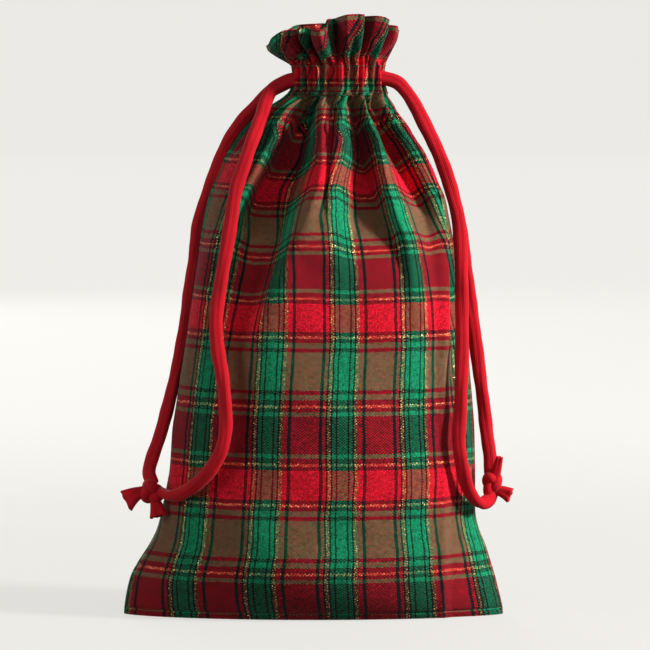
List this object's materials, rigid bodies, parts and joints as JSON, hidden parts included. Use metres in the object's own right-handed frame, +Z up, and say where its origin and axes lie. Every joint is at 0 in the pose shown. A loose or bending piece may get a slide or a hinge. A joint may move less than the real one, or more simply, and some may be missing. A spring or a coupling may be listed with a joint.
{
  "type": "fabric gift sack",
  "caption": "Plaid cotton drawstring gift sack, standing filled and drawn shut, with a loose header above the casing and a knotted knit cord loop down each side.",
  "frame": {"origin": "middle of the base, on the surface the sack stands on", "axes": "+Z up to the mouth, +X to the viewer's right across the flat width, -Y towards the front"},
  "size_m": [0.192, 0.0886, 0.3],
  "materials": {
    "plaid_cloth": "plain-woven plaid cotton in red, green and black with thin gold stripes",
    "sewing_thread": "matt sewing thread",
    "knit_cord": "soft red knit jersey cord"
  },
  "bodies": {
    "sack": {"front_panel": "plaid_cloth", "back_panel": "plaid_cloth", "front_casing": "plaid_cloth", "back_casing": "plaid_cloth", "left_side_seam": "sewing_thread", "right_side_seam": "sewing_thread", "bottom_seam": "sewing_thread", "upper_casing_stitching": "sewing_thread", "lower_casing_stitching": "sewing_thread", "left_cord_casing_run": "knit_cord", "right_cord_casing_run": "knit_cord"},
    "left_pull": {"left_front_cord_end": "knit_cord", "left_back_cord_end": "knit_cord"},
    "left_loop": {"left_front_strand": "knit_cord", "left_back_strand": "knit_cord", "left_knot": "knit_cord", "left_knot_tail_a": "knit_cord", "left_knot_tail_b": "knit_cord"},
    "right_pull": {"right_front_cord_end": "knit_cord", "right_back_cord_end": "knit_cord"},
    "right_loop": {"right_front_strand": "knit_cord", "right_back_strand": "knit_cord", "right_knot": "knit_cord", "right_knot_tail_a": "knit_cord", "right_knot_tail_b": "knit_cord"}
  },
  "joints": [
    {"name": "left_cord_pull", "type": "slide", "parent": "sack", "child": "left_pull", "axis": [-1, 0, 0], "range_m": [0, 0.008]},
    {"name": "left_loop_swing", "type": "hinge", "parent": "left_pull", "child": "left_loop", "pos_m": [-0.01515, 0, 0.26255], "axis": [0, 1, 0], "range_deg": [0, 65]},
    {"name": "right_cord_pull", "type": "slide", "parent": "sack", "child": "right_pull", "axis": [1, 0, 0], "range_m": [0, 0.008]},
    {"name": "right_loop_swing", "type": "hinge", "parent": "right_pull", "child": "right_loop", "pos_m": [0.04015, 0, 0.26955], "axis": [0, -1, 0], "range_deg": [0, 65]}
  ]
}
